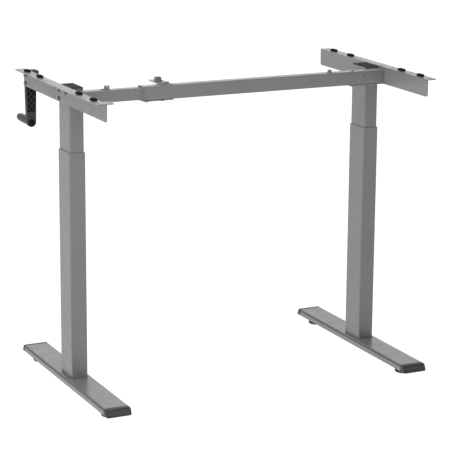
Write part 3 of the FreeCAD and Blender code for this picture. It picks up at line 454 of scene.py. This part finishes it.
def foot_cap(side, end):
    """Moulded end cap: a prism with round corners cut off aslant, a groove round its face, and a
    plug in the tube. It is made for the rear end and mirrored for the front."""
    node = side + "_foot_" + end + "_cap"
    low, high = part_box(node)
    tube_low, tube_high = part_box(side + "_foot_beam")
    sign = ENDS[end]
    joint = tube_high.y if sign > 0 else -tube_low.y
    tip = high.y if sign > 0 else -low.y
    half, bottom, top = (high.x - low.x) / 2, low.z, high.z
    slant = (tip - joint - CAP_TOP) / (top - bottom)
    section = round_section(half, bottom, top)
    mesh = bmesh.new()
    back = [mesh.verts.new((x, joint, z)) for x, z in section]
    front = [mesh.verts.new((x, tip - (z - bottom) * slant, z)) for x, z in section]
    face = skin(mesh, back, front)
    bmesh.ops.recalc_face_normals(mesh, faces=mesh.faces)
    round_edges(mesh, list(face.edges), CAP_RIM, 2)
    face = max(mesh.faces, key=lambda f: f.normal.y * f.calc_area())
    for width, rise in FACE_STEPS:
        bmesh.ops.inset_region(mesh, faces=[face], thickness=width, depth=rise)
    plug_low = (-half + TUBE_WALL, joint - PLUG_LENGTH, bottom + TUBE_WALL)
    plug_high = (half - TUBE_WALL, joint, top - TUBE_WALL)
    join_into(mesh, soft_block(plug_low, plug_high, 1.0 * MM, 0.8 * MM, 2))
    middle = (low.x + high.x) / 2
    flip = Matrix.Translation((middle, 0, 0)) @ Matrix.Diagonal((1, sign, 1, 1))
    place_part(mesh, mesh.verts, flip)
    add_piece(node + "_moulding", mesh, side + "_base", "dark_plastic", (node,))


SEAM_BELOW_TOP, SEAM_WIDTH = 4.0 * MM, 2.2 * MM
SEAM_PROUD, SEAM_SUNK = 0.2 * MM, 0.5 * MM


def foot_seam_and_painted_shade(side):
    """Seam along both flanks of the foot, just under its top rounding, coloured near black as painted shade
    in its gap.
    """
    low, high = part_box(side + "_foot_beam")
    height = high.z - SEAM_BELOW_TOP
    mesh = bmesh.new()
    for x, outward in ((low.x, -1), (high.x, 1)):
        root, crest = x - outward * SEAM_SUNK, x + outward * SEAM_PROUD
        section = [(root, height - SEAM_WIDTH / 2), (crest, height - SEAM_WIDTH / 4),
                   (crest, height + SEAM_WIDTH / 4), (root, height + SEAM_WIDTH / 2)]
        skin(mesh, *[[mesh.verts.new((a, y, b)) for a, b in section] for y in (low.y, high.y)])
    # the strip takes the near black painted shade colour instead of the paint of its slot
    add_piece(side + "_foot_seam_painted_shade", mesh, side + "_base", "grey_paint", material=SEAM_PAINTED_SHADE)


GLIDE_RIBS, RIB_DEPTH = 30, 0.35 * MM
RIBBED_POINTS = (4, 5, 6, 7)  # points of the base's outline that carry the ribs
STUD_RADIUS, STUD_PITCH, STUD_THREAD, STUD_FOOT = 4.0 * MM, 1.25 * MM, 0.62 * MM, 3.5 * MM


def glide_outline(reach):
    """Outline of the base in millimetres, from the middle of its sole to its hollow for the stud."""
    return [(0, 0.6), (15.0, 0.6), (15.6, 0), (reach - 1.3, 0), (reach - 0.3, 0.5), (reach, 1.5),
            (reach, 5.0), (reach - 0.8, 5.9), (reach - 3, 6.2), (17.0, 7.0), (13.2, 8.0), (12.6, 8.8),
            (11.8, 9.0), (7.6, 9.0), (7.0, 8.6), (4.6, 8.6), (4.15, 8.2), (4.15, 3.4), (0, 3.4)]


def levelling_foot(side, end):
    """Moulded base with a ribbed rim, and the threaded stud that stands in it."""
    node = side + "_" + end + "_glide"
    body = node + "_body"
    low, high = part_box(node)
    middle = (low + high) / 2
    reach = (high.x - low.x) / 2
    place = Matrix.Translation((middle.x, middle.y, low.z))

    def ribs(angle, index):
        if index not in RIBBED_POINTS:
            return 0.0
        return -RIB_DEPTH * (0.5 - 0.5 * math.cos(GLIDE_RIBS * angle))

    mesh = bmesh.new()
    outline = [(r * MM, h * MM) for r, h in glide_outline(reach / MM)]
    lathe(mesh, outline, place, 6 * GLIDE_RIBS, ribs)
    add_piece(node + "_base", mesh, body, "glide_plastic", (node,))
    stud = bmesh.new()
    threaded_rod(stud, STUD_RADIUS, STUD_PITCH, STUD_THREAD, STUD_FOOT, high.z - low.z, place)
    add_piece(node + "_stud", stud, body, "zinc_steel")


# ---- lead screws -------------------------------------------------------------------------------
SCREW_STARTS, SCREW_PITCH, SCREW_THREAD = 2, 4.0 * MM, 1.6 * MM
JOURNAL_RADIUS, JOURNAL_LENGTH, JOURNAL_CHAMFER = 4.99 * MM, 33.5 * MM, 0.6 * MM


def lead_screw(side):
    """Trapezoid thread of two starts, and the plain journal at its head."""
    node = side + "_lead_screw"
    low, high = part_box(node)
    middle = (low + high) / 2
    radius = (high.x - low.x) / 2
    thread_end = high.z - JOURNAL_LENGTH
    journal_start = thread_end - 1 * MM
    mesh = bmesh.new()
    place = Matrix.Translation((middle.x, middle.y, 0))
    threaded_rod(mesh, radius, SCREW_PITCH, SCREW_THREAD, low.z, thread_end, place, SCREW_STARTS, 32, 5)
    journal = [(0, journal_start), (JOURNAL_RADIUS, journal_start),
               (JOURNAL_RADIUS, high.z - JOURNAL_CHAMFER), (4.4 * MM, high.z), (0, high.z)]
    lathe(mesh, journal, place, 32)
    add_piece(node + "_thread", mesh, side + "_screw", "steel", (node,), DRAWN_STEEL)


# ---- pads on the beams -------------------------------------------------------------------------
PAD_HALF_LENGTH, PAD_GAP, PAD_SPACING = 12 * MM, 1.6 * MM, 98 * MM
LOBE_CORNER, LOBE_RIM = 3.0 * MM, 1.3 * MM
BRIDGE_HALF, BRIDGE_INSET, BRIDGE_HEIGHT = 3.5 * MM, 1 * MM, 2.4 * MM
PLUG_RADIUS, PLUG_TIP = 2.98 * MM, 2.4 * MM


def pad_middles(low, high):
    """The four pads of a beam from front to back, each outer pair a spacing apart."""
    first, last = low.y + PAD_HALF_LENGTH, high.y - PAD_HALF_LENGTH
    return (first, first + PAD_SPACING, last - PAD_SPACING, last)


def beam_pads(side):
    """Rubber pads of two lobes on a thin bridge, with a plug into the flange and a pin's head
    between the lobes."""
    node = side + "_beam_pads"
    low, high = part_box(node)
    beam_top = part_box(side + "_side_beam")[1].z
    x = (low.x + high.x) / 2
    half = (high.x - low.x) / 2
    plug = [(0, low.z), (PLUG_TIP, low.z), (PLUG_RADIUS, low.z + 0.8 * MM), (PLUG_RADIUS, beam_top),
            (0, beam_top)]
    head = [(r * MM, beam_top + h * MM) for r, h in ((0, 2.2), (1.5, 2.2), (1.5, 3.0), (1.0, 3.4), (0, 3.5))]
    rubber_mesh, pins = bmesh.new(), bmesh.new()
    for y in pad_middles(low, high):
        for lobe in (-1, 1):
            start, end = sorted((y + lobe * PAD_GAP, y + lobe * PAD_HALF_LENGTH))
            join_into(rubber_mesh, soft_block((x - half, start, beam_top), (x + half, end, high.z),
                                              LOBE_CORNER, LOBE_RIM))
        bridge_low = (x - half + BRIDGE_INSET, y - BRIDGE_HALF, beam_top)
        bridge_high = (x + half - BRIDGE_INSET, y + BRIDGE_HALF, beam_top + BRIDGE_HEIGHT)
        join_into(rubber_mesh, soft_block(bridge_low, bridge_high, 0.8 * MM, 0.4 * MM, 2))
        place = Matrix.Translation((x, y, 0))
        lathe(rubber_mesh, plug, place, 24)
        lathe(pins, head, place, 20)
    add_piece(node + "_rubber", rubber_mesh, side + "_head", "black_rubber", (node,))
    add_piece(node + "_pins", pins, side + "_head", "zinc_steel")


# ---- crank -------------------------------------------------------------------------------------
# outline of the grip's neck and belly as shares of its radius and its length
GRIP_NECK = [(0.70, 0.0), (0.76, 0.004), (0.80, 0.02), (0.86, 0.035), (0.90, 0.05)]
GRIP_BELLY = [(0.93 + 0.07 * math.sin(math.pi * t / 12), 0.07 + 0.76 * t / 12) for t in range(13)]
GRIP_RINGS, RING_SHARE, RING_HALF, RING_DEPTH = (0.16, 0.20, 0.24), 0.955, 0.012, 0.5 * MM
GRIP_BORE, BORE_SHARE, DOME_STEPS = 4.1 * MM, 0.9, 8


def crank_grip():
    """Turned looking grip with three shallow rings and a domed end."""
    low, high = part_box("crank_grip")
    middle = (low + high) / 2
    length, radius = high.y - low.y, (high.x - low.x) / 2
    shaped = [(part * radius, along * length) for part, along in GRIP_NECK + GRIP_BELLY]
    for ring in GRIP_RINGS:
        shaped += [(RING_SHARE * radius, (ring - RING_HALF) * length),
                   (RING_SHARE * radius - RING_DEPTH, ring * length),
                   (RING_SHARE * radius, (ring + RING_HALF) * length)]
    shaped.sort(key=lambda point: point[1])
    dome_radius, dome_start = shaped[-1]
    for i in range(1, DOME_STEPS):
        angle = math.pi / 2 * i / DOME_STEPS
        shaped.append((dome_radius * math.cos(angle), dome_start + (length - dome_start) * math.sin(angle)))
    bore = [(0.0, BORE_SHARE * length), (GRIP_BORE, BORE_SHARE * length), (GRIP_BORE, 0.004 * length)]
    turn = Matrix.Rotation(math.pi / 2, 4, "X")
    mesh = bmesh.new()
    lathe(mesh, bore + shaped + [(0.0, length)], Matrix.Translation((middle.x, high.y, middle.z)) @ turn, 64)
    add_piece("crank_grip_turned", mesh, "crank_grip_body", "grip_plastic", ("crank_grip",))


# ---- all of it ---------------------------------------------------------------------------------
finish_nodes()
for side_name in SIDES:
    for end_name in ENDS:
        foot_cap(side_name, end_name)
        levelling_foot(side_name, end_name)
    foot_seam_and_painted_shade(side_name)
    lead_screw(side_name)
    beam_pads(side_name)
crank_grip()

add_camera()
add_world()
add_floor()
for light_values in LIGHTS:
    add_area_light(*light_values)
